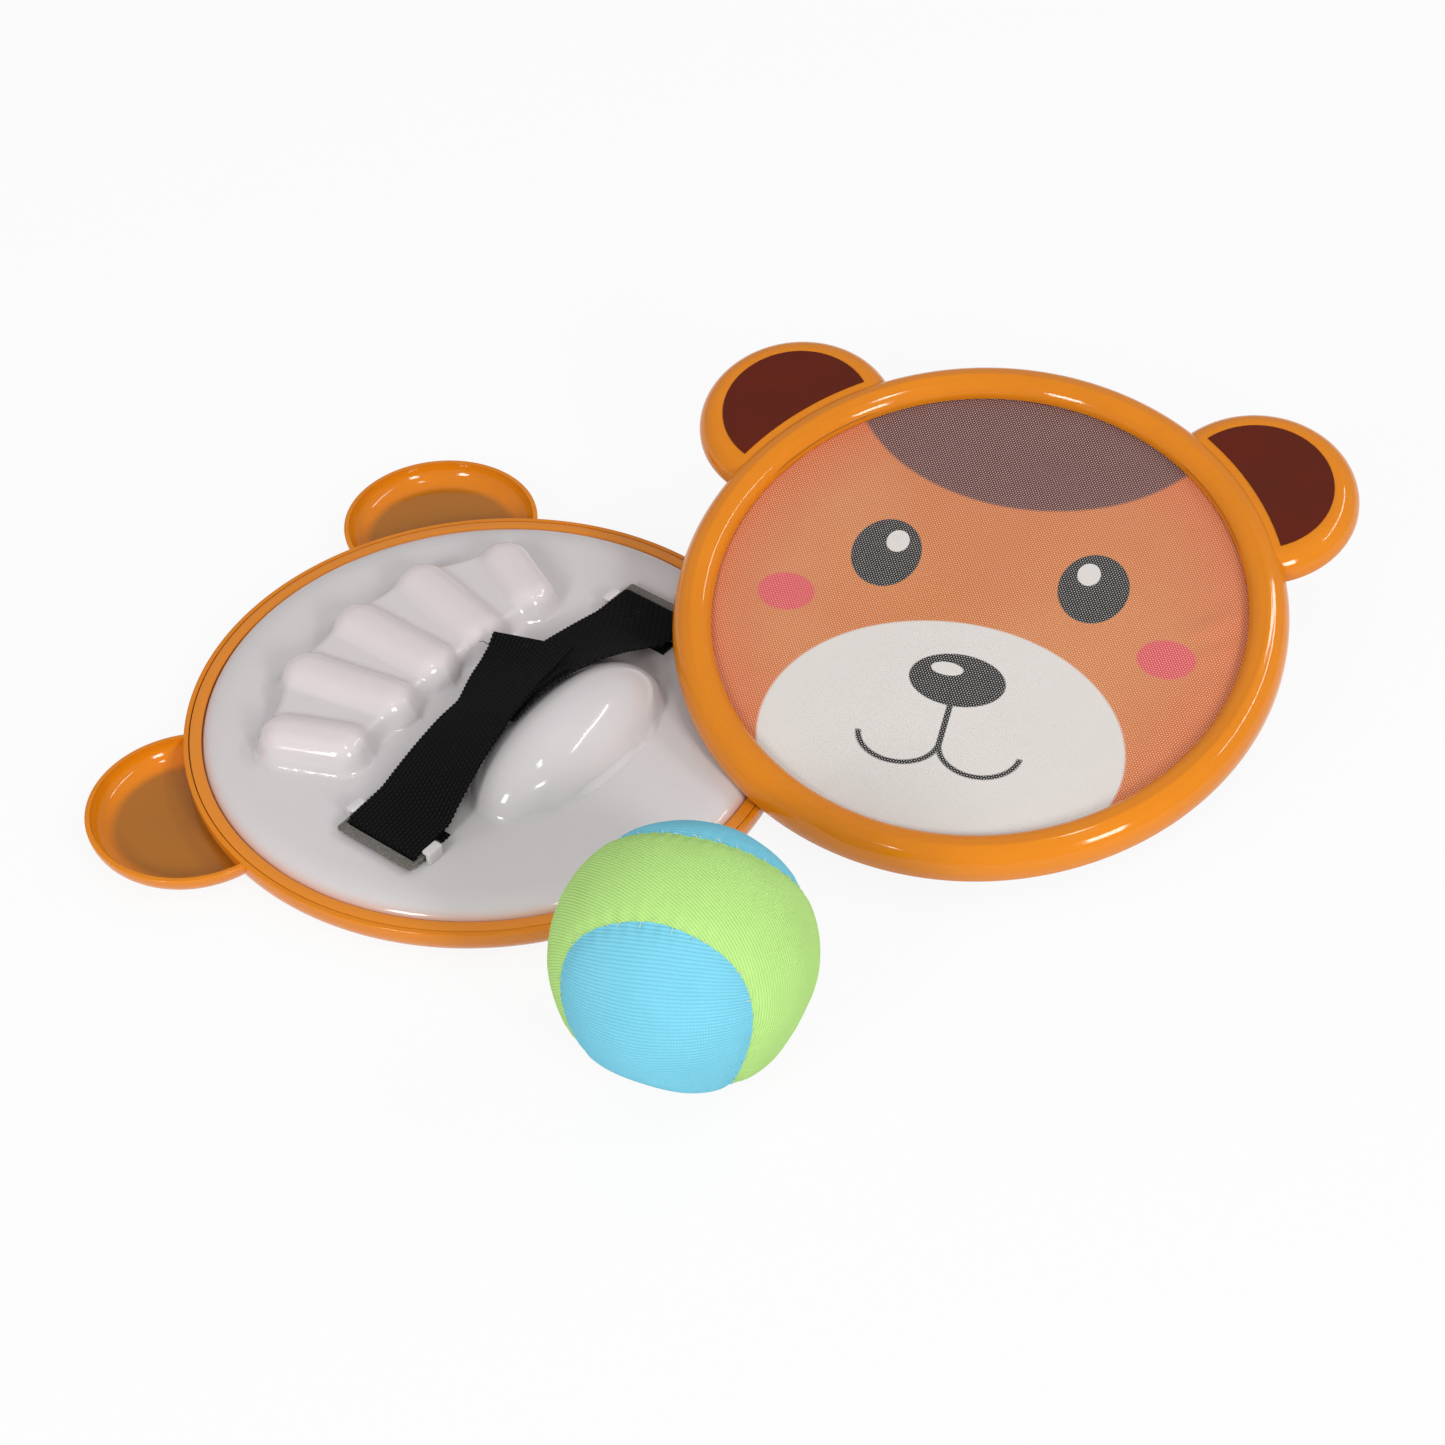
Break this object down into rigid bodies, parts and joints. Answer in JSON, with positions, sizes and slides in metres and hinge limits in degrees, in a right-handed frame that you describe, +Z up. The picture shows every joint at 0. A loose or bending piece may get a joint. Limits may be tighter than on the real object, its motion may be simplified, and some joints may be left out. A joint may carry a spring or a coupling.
{
  "type": "hook and loop catch set",
  "caption": "Catch game: round animal-head paddles with eared rims, mesh faces and hand straps, and a soft panelled ball that clings to the mesh.",
  "frame": {"origin": "on the floor under the middle of the set's bounding box", "axes": "+X along the set's longest side, from the face-down paddle to the leaning one; +Y away from the ball; +Z up"},
  "size_m": [0.3958, 0.2972, 0.0763],
  "materials": {
    "orange_plastic": "smooth glossy orange moulding",
    "white_plastic": "smooth glossy white moulding",
    "brown_print": "dark brown satin ear patch",
    "printed_net": "fine knitted net with a printed animal face",
    "white_backing": "white sheet that shows through the net's holes",
    "black_webbing": "woven black webbing",
    "grey_loop": "speckled grey flat loop",
    "green_knit": "lime green fine rib",
    "blue_knit": "sky blue rib",
    "foam": "soft filling"
  },
  "bodies": {
    "root": {"left_frame": "orange_plastic", "left_clamp_ring": "orange_plastic", "left_face_sheet": "white_backing", "left_catch_mesh": "printed_net", "left_ear_patch_1": "brown_print", "left_ear_patch_2": "brown_print", "left_back_tray": "white_plastic", "left_strap_over": "black_webbing", "left_strap_under": "black_webbing", "left_loop_patch": "black_webbing", "left_hook_patch": "black_webbing", "left_strap_loop_1": "grey_loop", "left_strap_loop_2": "grey_loop", "right_frame": "orange_plastic", "right_clamp_ring": "orange_plastic", "right_face_sheet": "white_backing", "right_catch_mesh": "printed_net", "right_ear_patch_1": "brown_print", "right_ear_patch_2": "brown_print", "right_back_tray": "white_plastic", "right_strap_over": "black_webbing", "right_strap_under": "black_webbing", "right_loop_patch": "black_webbing", "right_hook_patch": "black_webbing", "right_strap_loop_1": "grey_loop", "right_strap_loop_2": "grey_loop", "ball_green_panel": "green_knit", "ball_blue_panel": "blue_knit", "ball_filling": "foam"}
  },
  "joints": []
}
